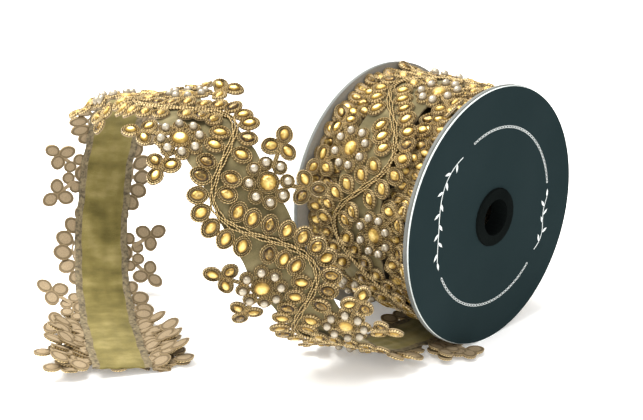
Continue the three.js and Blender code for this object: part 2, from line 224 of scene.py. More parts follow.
def extrudeUp(rise):
    bpy.ops.mesh.extrude_region_move(TRANSFORM_OT_translate={"value": (0, 0, rise)})


def resizeFlat(x, y):
    bpy.ops.transform.resize(value=(x, y, 1), center_override=(0, 0, 0))


def finishPiece(obj, slotName, *nodes):
    if nodes:
        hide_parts(*nodes)
    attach(obj, "root")


# Materials

def newMaterial(name):
    material = bpy.data.materials.new(name)
    material.use_nodes = True
    tree = material.node_tree
    return material, tree, tree.nodes["Principled BSDF"]


def addNode(tree, kind, inputs=(), **settings):
    node = tree.nodes.new("ShaderNode" + kind)
    for key, value in settings.items():
        setattr(node, key, value)
    for key, value in dict(inputs).items():
        node.inputs[key].default_value = value
    return node


def addMath(tree, operation, **settings):
    return addNode(tree, "Math", operation=operation, **settings)


def setInputs(node, **values):
    for key, value in values.items():
        node.inputs[key.replace("_", " ")].default_value = value


def makeRamp(tree, stops, source):
    ramp = addNode(tree, "ValToRGB")
    elements = ramp.color_ramp.elements
    while len(elements) < len(stops):
        elements.new(0.5)
    for element, (place, colour) in zip(elements, stops):
        element.position = place
        element.color = (*colour, 1)
    tree.links.new(source, ramp.inputs["Fac"])
    return ramp.outputs["Color"]


def newGroup(name, inputs, outputs):
    group = bpy.data.node_groups.new(name, "ShaderNodeTree")
    for socketName, kind, value in inputs:
        socket = group.interface.new_socket(socketName, in_out="INPUT", socket_type=kind)
        socket.default_value = value
    for socketName, kind in outputs:
        group.interface.new_socket(socketName, in_out="OUTPUT", socket_type=kind)
    start = group.nodes.new("NodeGroupInput")
    end = group.nodes.new("NodeGroupOutput")
    return group, start, end


def alongAndAcross(tree):
    # the two coordinates of the map that each piece is given
    place = addNode(tree, "UVMap", uv_map="along")
    parts = addNode(tree, "SeparateXYZ")
    tree.links.new(place.outputs["UV"], parts.inputs["Vector"])
    return parts.outputs["X"], parts.outputs["Y"]


def speckleGroup():
    # fine speckle and slow patches, for board, card, cloth and thread
    group, start, end = newGroup("fineSpeckle", [
        ("Fine", "NodeSocketFloat", 900.0), ("Broad", "NodeSocketFloat", 30.0),
    ], [("Speckle", "NodeSocketFloat"), ("Patches", "NodeSocketFloat")])
    place = addNode(group, "TexCoord")
    fine = addNode(group, "TexNoise", inputs={"Detail": 3.0, "Roughness": 0.6})
    broad = addNode(group, "TexNoise", inputs={"Detail": 2.0})
    for noise, socket in ((fine, "Fine"), (broad, "Broad")):
        group.links.new(place.outputs["Object"], noise.inputs["Vector"])
        group.links.new(start.outputs[socket], noise.inputs["Scale"])
    group.links.new(fine.outputs["Fac"], end.inputs["Speckle"])
    group.links.new(broad.outputs["Fac"], end.inputs["Patches"])
    return group


def twistGroup():
    # slanted strands and the creases between cords, as measures that the thread's colour turns into painted
    # shade; UV.x in metres along, UV.y counts the cords
    group, start, end = newGroup("twistedStrands", [
        ("Pitch", "NodeSocketFloat", 0.0014), ("Slant", "NodeSocketFloat", 0.9),
    ], [("Strands", "NodeSocketFloat"), ("RidgeShade", "NodeSocketFloat")])
    along, across = alongAndAcross(group)
    turns = addMath(group, "DIVIDE")
    total = addMath(group, "MULTIPLY_ADD")
    angle = addMath(group, "MULTIPLY", inputs={1: 2 * math.pi})
    wave = addMath(group, "SINE")
    half = addMath(group, "MULTIPLY_ADD", inputs={1: 0.5, 2: 0.5})
    cord = addMath(group, "MULTIPLY", inputs={1: math.pi})
    bow = addMath(group, "SINE")
    ridgeShade = addMath(group, "ABSOLUTE")
    for source, target in (
        (along, turns.inputs[0]), (start.outputs["Pitch"], turns.inputs[1]),
        (across, total.inputs[0]), (start.outputs["Slant"], total.inputs[1]),
        (turns.outputs[0], total.inputs[2]), (total.outputs[0], angle.inputs[0]),
        (angle.outputs[0], wave.inputs[0]), (wave.outputs[0], half.inputs[0]),
        (half.outputs[0], end.inputs["Strands"]),
        (across, cord.inputs[0]), (cord.outputs[0], bow.inputs[0]),
        (bow.outputs[0], ridgeShade.inputs[0]), (ridgeShade.outputs[0], end.inputs["RidgeShade"]),
    ):
        group.links.new(source, target)
    return group


speckleNodes = speckleGroup()
strandNodes = twistGroup()


def placeGroup(tree, group, **values):
    node = addNode(tree, "Group", node_tree=group)
    setInputs(node, **values)
    return node


def addBump(tree, shader, height, strength, distance):
    bump = addNode(tree, "Bump", inputs={"Strength": strength, "Distance": distance})
    tree.links.new(height, bump.inputs["Height"])
    tree.links.new(bump.outputs["Normal"], shader.inputs["Normal"])


def mixFactor(tree, first, second, share):
    mix = addNode(tree, "Mix", data_type="FLOAT", inputs={0: share})
    tree.links.new(first, mix.inputs[2])
    tree.links.new(second, mix.inputs[3])
    return mix.outputs[0]


def multiplyColours(tree, shader, first, second, share):
    mix = addNode(tree, "Mix", data_type="RGBA", blend_type="MULTIPLY", inputs={0: share})
    tree.links.new(first, mix.inputs[6])
    tree.links.new(second, mix.inputs[7])
    tree.links.new(mix.outputs[2], shader.inputs["Base Color"])


def threadMaterial(name, dark, middle, light):
    material, tree, shader = newMaterial(name)
    strands = placeGroup(tree, strandNodes, Pitch=0.0021, Slant=0.8)
    speckle = placeGroup(tree, speckleNodes, Fine=1100.0, Broad=60.0)
    grain = mixFactor(tree, strands.outputs["Strands"], speckle.outputs["Speckle"], 0.3)
    tone = mixFactor(tree, grain, strands.outputs["RidgeShade"], 0.5)
    # the ramp paints shade into the creases between cords and the grooves of the twist, and a painted
    # highlight onto the crowns of the cords
    ramp = makeRamp(tree, [(0.34, dark), (0.58, middle), (0.82, light)], tone)
    tree.links.new(ramp, shader.inputs["Base Color"])
    setInputs(shader, Metallic=0.35, Roughness=0.42)
    addBump(tree, shader, tone, 1.0, 0.0008)
    return material


def backingMaterial():
    # tan embroidery with a darker rim; UV.x runs from the middle (0) to the rim (1)
    material, tree, shader = newMaterial("tanBacking")
    outwards = alongAndAcross(tree)[0]
    speckle = placeGroup(tree, speckleNodes, Fine=1500.0, Broad=90.0)
    rim = makeRamp(tree, [(0.60, (0.34, 0.26, 0.16)), (0.74, (0.14, 0.098, 0.047)),
                          (0.86, (0.17, 0.12, 0.06)), (1.0, (0.32, 0.24, 0.13))], outwards)
    grain = makeRamp(tree, [(0.3, (0.55, 0.52, 0.48)), (0.65, (1.15, 1.12, 1.05))],
                     speckle.outputs["Speckle"])
    multiplyColours(tree, shader, rim, grain, 0.7)
    setInputs(shader, Roughness=0.72, Metallic=0.1)
    addBump(tree, shader, speckle.outputs["Speckle"], 0.7, 0.0005)
    return material


def gemMaterial():
    # foil-backed crystal, amber towards the setting and darkest at its edge with painted shade, pale in the
    # middle with a painted reflection of its foil; UV.y is each facet's painted reflection
    material, tree, shader = newMaterial("foilGem")
    outwards, facetReflection = alongAndAcross(tree)
    body = makeRamp(tree, [(0.0, (0.77, 0.63, 0.27)), (0.48, (0.59, 0.42, 0.115)),
                           (0.74, (0.35, 0.215, 0.036)), (1.0, (0.10, 0.055, 0.012))], outwards)
    # high values give facets a painted highlight brighter than the stone's colour, low values a painted
    # dark reflection
    tone = makeRamp(tree, [(0.0, (0.16, 0.13, 0.09)), (0.2, (0.55, 0.48, 0.36)),
                           (0.5, (0.98, 0.95, 0.88)), (1.0, (1.2, 1.2, 1.2))], facetReflection)
    multiplyColours(tree, shader, body, tone, 1.0)
    setInputs(shader, Metallic=0.55, Roughness=0.3, Coat_Weight=0.2, Coat_Roughness=0.08)
    return material


def pearlMaterial():
    # pale where it faces the eye and darker towards its outline, a painted shade and painted dark
    # reflection at its rim
    material, tree, shader = newMaterial("pearl")
    speckle = placeGroup(tree, speckleNodes, Fine=700.0, Broad=120.0)
    colour = makeRamp(tree, [(0.35, (0.37, 0.32, 0.235)), (0.65, (0.52, 0.46, 0.355))],
                      speckle.outputs["Patches"])
    facing = addNode(tree, "LayerWeight", inputs={"Blend": 0.35})
    # painted shade: the pearl darkens as its surface turns away from the eye
    shade = makeRamp(tree, [(0.0, (1.0, 1.0, 1.0)), (0.45, (0.72, 0.68, 0.62)), (1.0, (0.30, 0.25, 0.19))],
                     facing.outputs["Facing"])
    multiplyColours(tree, shader, colour, shade, 1.0)
    setInputs(shader, Metallic=0.4, Roughness=0.25, Coat_Weight=0.2, Coat_Roughness=0.15)
    return material


def velvetMaterial(name, dark, middle, light):
    # crushed pile: UV.x along the ribbon and UV.y across it, in metres
    material, tree, shader = newMaterial(name)
    place = addNode(tree, "UVMap", uv_map="along")
    stretch = addNode(tree, "Mapping", inputs={"Scale": (75, 18, 1)})
    nap = addNode(tree, "TexNoise", inputs={"Scale": 1.0, "Detail": 4.0, "Roughness": 0.55})
    pile = placeGroup(tree, speckleNodes, Fine=2600.0, Broad=55.0)
    tree.links.new(place.outputs["UV"], stretch.inputs["Vector"])
    tree.links.new(stretch.outputs["Vector"], nap.inputs["Vector"])
    slow = mixFactor(tree, nap.outputs["Fac"], pile.outputs["Patches"], 0.5)
    tone = mixFactor(tree, slow, pile.outputs["Speckle"], 0.25)
    ramp = makeRamp(tree, [(0.38, dark), (0.5, middle), (0.62, light)], tone)
    tree.links.new(ramp, shader.inputs["Base Color"])
    setInputs(shader, Roughness=0.8, Specular_IOR_Level=0.2, Sheen_Weight=0.3, Sheen_Roughness=0.4,
               Sheen_Tint=(0.93, 0.88, 0.62, 1))
    addBump(tree, shader, tone, 0.5, 0.0008)
    return material


def plainMaterial(name, dark, light, roughness, fine, broad, bump, metallic=0.0, specular=0.5):
    material, tree, shader = newMaterial(name)
    speckle = placeGroup(tree, speckleNodes, Fine=fine, Broad=broad)
    tone = mixFactor(tree, speckle.outputs["Speckle"], speckle.outputs["Patches"], 0.5)
    tree.links.new(makeRamp(tree, [(0.35, dark), (0.65, light)], tone), shader.inputs["Base Color"])
    setInputs(shader, Roughness=roughness, Metallic=metallic, Specular_IOR_Level=specular)
    addBump(tree, shader, speckle.outputs["Speckle"], bump, 0.0003)
    return material


# gold thread: its darkest colour is the painted shade in the creases, its lightest the painted highlight on
# the crowns
goldThread = threadMaterial("goldThread", (0.025, 0.014, 0.0045), (0.25, 0.165, 0.060), (0.84, 0.65, 0.33))
tanBacking = backingMaterial()
foilGem = gemMaterial()
pearl = pearlMaterial()
frontVelvet = velvetMaterial("sageVelvet", (0.054, 0.044, 0.018), (0.12, 0.097, 0.042), (0.22, 0.18, 0.09))
backVelvet = velvetMaterial("oliveVelvet", (0.090, 0.074, 0.018), (0.18, 0.145, 0.042), (0.31, 0.255, 0.10))
# dark and light colour, roughness, fine and broad grain, bump, then metallic and specular if need be
plainLooks = {
    "selvedge": ((0.060, 0.044, 0.022), (0.235, 0.185, 0.100), 0.7, 520, 260, 0.8),
    "greyBoard": ((0.2, 0.19, 0.16), (0.28, 0.26, 0.23), 0.85, 900, 25, 0.35),
    # the board's rim and bore, a darker grey than its faces: painted shade
    "shadedBoardEdge": ((0.10, 0.105, 0.098), (0.15, 0.155, 0.145), 0.8, 1100, 40, 0.3),
    "darkCard": ((0.014, 0.024, 0.026), (0.018, 0.029, 0.031), 0.6, 1600, 18, 0.06, 0.0, 0.0),
    "whiteEdge": ((0.51, 0.56, 0.54), (0.61, 0.66, 0.65), 0.6, 1500, 40, 0.2),
    "blackPlastic": ((0.004, 0.0052, 0.005), (0.0065, 0.0082, 0.0078), 0.6, 1200, 60, 0.08, 0.0, 0.0),
    "brownTube": ((0.14, 0.098, 0.055), (0.2, 0.15, 0.093), 0.9, 700, 30, 0.3),
    "silverPrint": ((0.55, 0.59, 0.58), (0.76, 0.80, 0.79), 0.35, 1500, 60, 0.05, 0.3),
    # the inner turns of the roll, given a dark olive-brown painted shade in place of their velvet and lace
    # colours
    "shadedWoundCloth": ((0.035, 0.027, 0.013), (0.10, 0.08, 0.04), 0.85, 900, 120, 0.8),
}
plain = {name: plainMaterial(name, *look) for name, look in plainLooks.items()}
print("materials made")


# Where the lace's flat pattern goes: along (s), across (v) and height (h), all in metres

def tailFrames():
    rows = np.array(tailRows, float)
    at = (np.arange(round(tailLength / ribbon["step"])) + 0.5) * ribbon["step"] * 1000
    rates = [np.radians(np.interp(at, rows[:, 0], rows[:, k])) / 100 for k in (1, 2, 3)]
    slope = ribbon["startSlope"]
    forward = np.array([0, -math.cos(slope), math.sin(slope)])
    across = np.array([1.0, 0, 0])
    outward = np.cross(across, forward)
    x, behind, radius = ribbon["tailStart"]
    point = np.array([x, behind, axisZ - math.sqrt(radius ** 2 - behind ** 2)])
    point = point + np.array([axisX, axisY, 0])
    frames = [(point, forward, across, outward)]
    for bend, twist, swerve in zip(*rates):
        nextForward = forward - bend * outward + swerve * across
        nextForward /= np.linalg.norm(nextForward)
        nextAcross = across + twist * outward - swerve * forward
        nextAcross -= nextAcross.dot(nextForward) * nextForward
        nextAcross /= np.linalg.norm(nextAcross)
        forward, across = nextForward, nextAcross
        outward = np.cross(across, forward)
        point = point + forward * ribbon["step"]
        frames.append((point, forward, across, outward))
    return [np.array(part) for part in zip(*frames)]


tailPoint, tailForward, tailAcross, tailOutward = tailFrames()


def placeOnTail(flat):
    at = np.clip((ribbon["phase"] - flat[:, 0]) / ribbon["step"], 0, len(tailPoint) - 1.001)
    index = at.astype(int)
    share = (at - index)[:, None]
    point, across, outward = [
        part[index] * (1 - share) + part[index + 1] * share
        for part in (tailPoint, tailAcross, tailOutward)
    ]
    return point + across * flat[:, 1:2] + outward * flat[:, 2:3]


def placeOnRoll(flat, drop=0.0, curlStart=roll["curlStart"]):
    laid = roll["shift"] + flat[:, 1]
    side = np.sign(laid)
    curl = np.maximum(0, np.abs(laid) - curlStart) / roll["curlRadius"]
    height = flat[:, 2] - drop
    turn = roll["zeroTurn"] - flat[:, 0] / roll["bandRadius"]
    # the outer turns stand a little loose over the top
    level = roll["bandRadius"] - roll["petalSink"] + roll["looseTop"] * np.maximum(0, np.sin(turn))
    offAxis = np.where(curl > 0, side * (curlStart + roll["curlRadius"] * np.sin(curl)), laid)
    radius = level + roll["curlRadius"] * (1 - np.cos(curl)) + height * np.cos(curl)
    aside = offAxis - side * height * np.sin(curl)
    # what would go through a flange is pressed flat against it
    room = roll["pressTo"] - roll["pressFrom"]
    over = np.maximum(0, np.abs(aside) - roll["pressFrom"])
    pressed = np.sign(aside) * (roll["pressFrom"] + room * np.tanh(over / room))
    return np.stack([
        axisX + np.where(over > 0, pressed, aside),
        axisY - radius * np.cos(turn),
        axisZ + radius * np.sin(turn),
    ], axis=1)


def vineAcross(along):
    place = along % pattern["repeat"]
    step, swing = pattern["rosetteStep"], pattern["vineSwing"]
    if place < step:
        return swing * math.cos(math.pi * place / step)
    return -swing * math.cos(math.pi * (place - step) / (pattern["repeat"] - step))


def vineSlope(along):
    return (vineAcross(along + 0.0005) - vineAcross(along - 0.0005)) / 0.001


# Shapes that repeat: each is modelled once, then copied with its own mesh data

def readShape(obj, uvOf, order=1):
    # an order of -1 turns the faces over
    mesh = obj.data
    verts = np.array([v.co for v in mesh.vertices])
    faces = [list(p.vertices)[::order] for p in mesh.polygons]
    uv = [uvOf(mesh, p, corner) for p in mesh.polygons for corner in range(len(p.vertices))[::order]]
    bpy.data.objects.remove(obj)
    return {"verts": verts, "faces": faces, "uv": np.array(uv), "slots": [0] * len(faces)}


def addCircle(sides, filled):
    deselectAll()
    bpy.ops.mesh.primitive_circle_add(
        vertices=sides, radius=1, fill_type="NGON" if filled else "NOTHING", location=(0, 0, 0))
    return bpy.context.object


def pointed(shape, length, inner, outer):
    # narrows an oval towards its ends, as a leaf is
    along = shape["verts"][:, 1] / (length / 2)
    shape["verts"][:, 0] *= 1 - np.where(along < 0, inner, outer) * along ** 2
    return shape


def ovalRing(length, width, band, height, cords, sides):
    # a closed ring of cords round an oval; UV.y counts the cords from the outside in
    profile = [(0, 0)]
    for k in range(cords):
        profile += [((k + 0.5) * band / cords, height), ((k + 1) * band / cords, 0.1 * height)]
    obj = addCircle(sides, False)
    editAll()
    resizeFlat(width / 2, length / 2)
    for (before, low), (inset, high) in zip(profile, profile[1:]):
        extrudeUp(high - low)
        resizeFlat((width / 2 - inset) / (width / 2 - before), (length / 2 - inset) / (length / 2 - before))
    leaveEdit()
    perimeter = math.pi * (length + width) / 2

    def uvOf(mesh, p, corner):
        corners = [mesh.vertices[v].co for v in p.vertices]
        angles = [math.atan2(co.x / width, co.y / length) for co in corners]
        angle = angles[corner]
        if max(angles) - min(angles) > math.pi and angle < 0:
            angle += 2 * math.pi
        size = math.hypot(corners[corner].x / width, corners[corner].y / length) * 2
        return angle / (2 * math.pi) * perimeter, (1 - size) * (width + length) / 4 / band * cords

    return readShape(obj, uvOf, order=-1)


def outwardShare(mesh, p, corner, length, width):
    # how far out a face's corner is, from 0 in the middle of the oval to 1 at its rim
    co = mesh.vertices[p.vertices[corner]].co
    return min(1.0, math.hypot(co.x / width, co.y / length) * 2)


def ovalPad(length, width, thickness, sides):
    # the embroidered ground under a leaf, closed all round; its back has a stitched rim
    obj = addCircle(sides, True)
    editAll()
    resizeFlat(width / 2, length / 2)
    extrudeUp(-thickness)
    bpy.ops.mesh.inset(thickness=0.12 * (length + width) / 2)
    bpy.ops.mesh.poke()
    bpy.ops.mesh.select_all(action="SELECT")
    bpy.ops.transform.translate(value=(0, 0, thickness))
    bpy.ops.mesh.normals_make_consistent(inside=False)
    leaveEdit()
    return readShape(obj, lambda mesh, p, corner: (outwardShare(mesh, p, corner, length, width), 0.0))


def cutGem(length, width, height, sides):
    # girdle, crown and table; flat facets
    obj = addCircle(sides, True)
    editAll()
    resizeFlat(width / 2, length / 2)
    for rise, scale in ((0.35, 0.98), (0.45, 0.72), (0.2, 0.74)):
        extrudeUp(rise * height)
        resizeFlat(scale, scale)
    bpy.ops.mesh.poke(offset=height * 0.08)
    leaveEdit()
    # each facet gets a painted reflection of its own, a random shift in brightness
    facetReflections = [random.uniform(-0.3, 0.3) for facet in obj.data.polygons]
    return readShape(
        obj, lambda mesh, p, corner: (outwardShare(mesh, p, corner, length, width), facetReflections[p.index]))


def halfPearl(radius):
    # a pearl that sits a little into its setting, cut flat below
    deselectAll()
    bpy.ops.mesh.primitive_uv_sphere_add(
        segments=10, ring_count=8, radius=radius, location=(0, 0, radius * 0.72))
    obj = bpy.context.object
    bpy.ops.object.transform_apply(location=True)
    editAll()
    bpy.ops.mesh.bisect(plane_co=(0, 0, 0), plane_no=(0, 0, 1), clear_inner=True, use_fill=True)
    leaveEdit()
    return readShape(obj, lambda mesh, p, corner: (0.0, 0.0))


def padAndRing(length, width, band, height, sides, inner=0.0, outer=0.0):
    pad = ovalPad(length, width, pattern["padThickness"], sides)
    ring = ovalRing(length, width, band, height, pattern["rimCords"], sides)
    return [pointed(shape, length, inner, outer) for shape in (pad, ring)]


leafPad, leafRing = padAndRing(pattern["petalLength"], pattern["petalWidth"], band=0.0024, height=0.0013,
                               sides=16, inner=0.30, outer=0.10)
bigPad, bigRing = padAndRing(pattern["bigRing"], pattern["bigRing"], band=0.0021, height=0.0014, sides=20)
pearlPad, pearlRing = padAndRing(pattern["pearlSetting"], pattern["pearlSetting"], band=0.0021,
                                 height=0.0011, sides=12)
leafGem = cutGem(pattern["gemLength"], pattern["gemWidth"], height=0.0019, sides=10)
bigGem = cutGem(pattern["bigGem"], pattern["bigGem"], height=0.0027, sides=12)
# what each setting is made of: its pad, its ring of cords and what it holds
leafSetting = (leafPad, leafRing, pointed(leafGem, pattern["gemLength"], 0.32, 0.22))
bigSetting = (bigPad, bigRing, bigGem)
pearlSetting = (pearlPad, pearlRing, halfPearl(pattern["pearlRadius"]))
print("repeating shapes made")


def lineNormals(line):
    step = np.gradient(line, axis=0)
    step /= np.linalg.norm(step, axis=1)[:, None]
    return np.stack([-step[:, 1], step[:, 0]], axis=1)


def patchCorners(first, last, low, high):
    return [(first, low), (last, low), (last, high), (first, high)]


def cordStrip(line, cords, cordWidth, height):
    # side-by-side cords along a line of (s, v) points, with a flat back
    normal = lineNormals(line)
    length = np.concatenate([[0], np.cumsum(np.linalg.norm(np.diff(line, axis=0), axis=1))])
    half = cords * cordWidth / 2
    profile = [(-half, 0.0)]
    for k in range(cords):
        left = -half + k * cordWidth
        profile += [(left + 0.12 * cordWidth, 0.55 * height), (left + 0.5 * cordWidth, height),
                    (left + 0.88 * cordWidth, 0.55 * height)]
    profile.append((half, 0.0))
    rows = [np.column_stack([line + normal * side, np.full(len(line), up)]) for side, up in profile]
    count = len(profile)
    verts = np.stack(rows, axis=1).reshape(-1, 3)
    faces, uv, slots = [], [], []
    for i in range(len(line) - 1):
        for k in range(count):
            m = (k + 1) % count
            faces.append([i * count + k, (i + 1) * count + k, (i + 1) * count + m, i * count + m])
            left, right = [(profile[corner][0] + half) / cordWidth for corner in (k, m)]
            uv += patchCorners(length[i], length[i + 1], left, right)
            slots.append(1 if m == 0 else 0)
    for end in (list(range(count))[::-1], [(len(line) - 1) * count + k for k in range(count)]):
        faces.append(end)
        uv += [(0.0, 0.0)] * count
        slots.append(0)
    return {"verts": verts, "faces": faces, "uv": np.array(uv), "slots": slots}


# The pattern as lists of places

def leafPlace(along, across, turn, size=1.0, tilt=(0, 0, 0, 0)):
    # a tilt is its hinge, along and across, and how steeply it rises in both directions
    return {"along": along, "across": across, "turn": turn, "size": size, "tilt": tilt}


def vineLeaf(foot, side):
    # a leaf that stands off the vine on one side of it, hinged where it meets the vine
    slope = vineSlope(foot)
    off = side * pattern["leafReach"] / math.hypot(1, slope)
    wobble, size = random.uniform(-0.09, 0.09), random.uniform(0.97, 1.04)
    if side > 0:
        aim = pattern["leafLean"] - math.atan(slope) + wobble
    else:
        aim = math.pi - math.atan(slope) - pattern["leafLean"] + random.uniform(-0.09, 0.09)
    tilt = (foot, vineAcross(foot), random.uniform(-0.12, 0.12), side * random.uniform(-0.10, 0.16))
    return leafPlace(foot - off * slope, vineAcross(foot) + off, aim, size, tilt)


def heartLeaves(heart, outward, spreads, tilt):
    # three leaves round a heart, tilted as one
    leaves = []
    for spread in spreads:
        aim = outward + spread + random.uniform(-0.08, 0.08)
        leaves.append(leafPlace(heart[0] + pattern["trefoilRing"] * math.sin(aim),
                                heart[1] + pattern["trefoilRing"] * math.cos(aim),
                                aim, random.uniform(0.87, 0.94), tilt))
    return leaves


def aimTo(side, aim):
    # the other side's leaves point the other way
    return aim if side > 0 else math.pi - aim


def bunchedLeaves(bunch):
    leaves = []
    for across, first, last, step in bunch["rows"]:
        for side in (-1, 1):
            for k in range(int((last - first) / step) + 1):
                along = (first + k * step + random.uniform(-1.5, 1.5)) / 1000
                aim = aimTo(side, random.uniform(-0.5, 0.5))
                off, size = random.uniform(-2, 2), random.uniform(0.85, 1.0)
                tilt = (along, side * pattern["tiltFrom"] * 0.8, random.uniform(-0.3, 0.3),
                        -side * random.uniform(*bunch["flare"]))
                leaves.append(leafPlace(along, side * (across + off) / 1000, aim, size, tilt))
    return leaves


def layLace(start, stop, keeps, loose, tucked, spread, bunched):
    parts = {"leaves": [], "rosettes": [], "stems": []}
    first, last = math.floor(start / pattern["repeat"]), math.ceil(stop / pattern["repeat"])
    evenly = (-pattern["petalSpread"], 0, pattern["petalSpread"])

    def addTrefoil(root, heart, outward, spreads, tilt):
        parts["leaves"] += heartLeaves(heart, outward, spreads, tilt)
        parts["stems"].append((root, heart, tilt))

    def heartOf(rosette, side, lean):
        return (rosette + pattern["trefoilReach"] * math.sin(lean),
                side * (pattern["rosetteAcross"] + pattern["trefoilReach"] * math.cos(lean)))

    def stalkRoot(middle, heart):
        share = pattern["stalkFrom"] / pattern["trefoilReach"]
        return tuple(a + (b - a) * share for a, b in zip(middle, heart))

    for repeat in range(first - 1, last + 1):
        for offset, side in ((0, -1), (pattern["rosetteStep"], 1)):
            rosette = repeat * pattern["repeat"] + offset
            middle = (rosette, side * pattern["rosetteAcross"])
            if keeps(*middle, pattern["rosetteReach"]):
                parts["rosettes"].append(middle)
                for lean in pattern["trefoilLeans"]:
                    heart = heartOf(rosette, side, lean)
                    tilt = (rosette, side * pattern["tiltFrom"], random.uniform(-loose, loose),
                            side * random.uniform(-1.3 * loose, 0.7 * loose))
                    if keeps(*heart, pattern["trefoilClear"]):
                        addTrefoil(stalkRoot(middle, heart), heart, aimTo(side, lean), evenly, tilt)
            beside = [vineLeaf(rosette + foot / 1000, -side) for foot in outerFeet]
            beside += [vineLeaf(rosette + foot / 1000, side) for foot in innerFeet[side]]
            for leaf in beside:
                if keeps(leaf["along"], leaf["across"], pattern["leafClear"]):
                    parts["leaves"].append(leaf)
    for rosette, lean, turns in tucked:
        rosette, lean = rosette / 1000, math.radians(lean)
        heart = heartOf(rosette, 1, lean)
        root = stalkRoot((rosette, pattern["rosetteAcross"]), heart)
        addTrefoil(root, heart, lean, [math.radians(turn) for turn in turns], (0, 0, 0, 0))
    for foot, across, lean in spread:
        foot, across, lean = foot / 1000, across / 1000, math.radians(lean)
        heart = (foot + abs(across - vineAcross(foot)) * math.tan(lean), across)
        addTrefoil((foot, vineAcross(foot)), heart, aimTo(across, lean), evenly, (0, 0, 0, 0))
    if bunched:
        parts["leaves"] += bunchedLeaves(bunched)
    return parts


# Gathering copies of the shapes into one mesh

class Heap:
    def __init__(self):
        self.verts, self.faces, self.uv, self.slots, self.count = [], [], [], [], 0

    def add(self, shape, flat, uv=None, slot=None):
        self.verts.append(flat)
        self.faces += [[v + self.count for v in face] for face in shape["faces"]]
        self.uv.append(shape["uv"] if uv is None else uv)
        self.slots += shape["slots"] if slot is None else [slot] * len(shape["faces"])
        self.count += len(flat)

    def build(self, name, materials):
        return meshObject(name, np.concatenate(self.verts), self.faces,
                          np.concatenate(self.uv), self.slots, materials)


def layFlat(shape, place, height):
    # puts a shape at a leaf's place, turned, sized and tilted about its hinge
    x, y = place["size"] * shape["verts"][:, 0], place["size"] * shape["verts"][:, 1]
    turn = place["turn"]
    s = place["along"] + x * math.cos(turn) + y * math.sin(turn)
    v = place["across"] - x * math.sin(turn) + y * math.cos(turn)
    return np.column_stack([s, v, shape["verts"][:, 2] + height + tiltAt(place["tilt"], s, v)])


def tiltAt(tilt, s, v):
    # over the velvet nothing tilts down into it
    hingeAlong, hingeAcross, alongRise, acrossRise = tilt
    rise = alongRise * (s - hingeAlong) + acrossRise * (v - hingeAcross)
    return np.where(np.abs(v) < ribbon["width"] / 2 + 0.001, np.maximum(rise, 0), rise)


def setPiece(lace, gems, place, setting, bend, gemReflection):
    pad, ring, stone = setting
    ground = pattern["laceHeight"]
    lace.add(pad, bend(layFlat(pad, place, ground - pattern["padSink"])), slot=1)
    lace.add(ring, bend(layFlat(ring, place, ground + pattern["ringRise"])), slot=0)
    # each stone's painted reflection is shifted in brightness as a whole
    uv = stone["uv"].copy()
    uv[:, 1] = np.clip(uv[:, 1] + gemReflection, 0, 1)
    gems.add(stone, bend(layFlat(stone, place, ground + pattern["stoneRise"])), uv=uv)


def vineCord(start, stop, cord):
    # one of the vine's three cords, which wander a little against each other
    alongs = np.arange(start, stop, pattern["vineStep"])
    slopes = np.array([vineSlope(s) for s in alongs])
    wander = 0.0003 * np.sin(alongs * 900 + 2.1 * cord) + 0.0003 * np.sin(alongs * 430 + 4 * cord)
    off = (cord * pattern["vineCord"] + wander) / np.hypot(1, slopes)
    return np.column_stack([alongs - off * slopes, [vineAcross(s) for s in alongs] + off])


def addStrip(lace, line, bend, cords, cordWidth, height, tilt=None):
    strip = cordStrip(line, cords, cordWidth, height)
    flat = strip["verts"]
    flat[:, 2] += pattern["laceHeight"]
    if tilt:
        flat[:, 2] += tiltAt(tilt, flat[:, 0], flat[:, 1])
    lace.add(strip, bend(flat))


# how bright a painted reflection each leaf's stone shows; the darkest stand for stones that reflect the
# dark things round them
leafGemReflections = (0.05, 0.15, 0.28, 0.38, 0.45, 0.5, 0.55, 0.6, 0.65, 0.7)


def buildLace(prefix, start, stop, keeps, bend, loose, tucked=(), spread=(), bunched=None, vine=True):
    parts = layLace(start, stop, keeps, loose, tucked, spread, bunched)
    lace, gems, pearls = Heap(), Heap(), Heap()
    for leaf in parts["leaves"]:
        setPiece(lace, gems, leaf, leafSetting, bend, random.choice(leafGemReflections))
    for s, v in parts["rosettes"]:
        middle = leafPlace(s, v, random.uniform(0, 1))
        setPiece(lace, gems, middle, bigSetting, bend, random.uniform(0.55, 0.8))
        for k in range(pattern["pearls"]):
            angle = 2 * math.pi * (k + 0.5) / pattern["pearls"] + random.uniform(-0.05, 0.05)
            reach = pattern["pearlRing"] * random.uniform(0.98, 1.03)
            spot = leafPlace(s + reach * math.sin(angle), v + reach * math.cos(angle), angle)
            setPiece(lace, pearls, spot, pearlSetting, bend, 0.0)
    for root, heart, tilt in parts["stems"]:
        share = np.linspace(0, 1, 8)[:, None]
        stalk = np.array([root]) * (1 - share) + np.array([heart]) * share
        addStrip(lace, stalk, bend, cords=3, cordWidth=pattern["stalkCord"], height=0.0012, tilt=tilt)
    for cord in (-1, 0, 1) if vine else ():
        addStrip(lace, vineCord(start, stop, cord), bend, cords=1, cordWidth=pattern["vineCord"] * 1.05,
                 height=0.0014 + 0.0002 * cord)
    made = [lace.build(prefix + "_lace", (goldThread, tanBacking)),
            gems.build(prefix + "_gems", (foilGem,))]
    smoothByAngle(made[0], 50)
    if parts["rosettes"]:
        made.append(pearls.build(prefix + "_pearls", (pearl,)))
        smoothByAngle(made[-1], 60)
    print(prefix, "leaves", len(parts["leaves"]), "rosettes", len(parts["rosettes"]))
    return made


# Loose end

tailFrom = ribbon["phase"] - tailLength
tailTo = ribbon["phase"] - ribbon["endClear"]


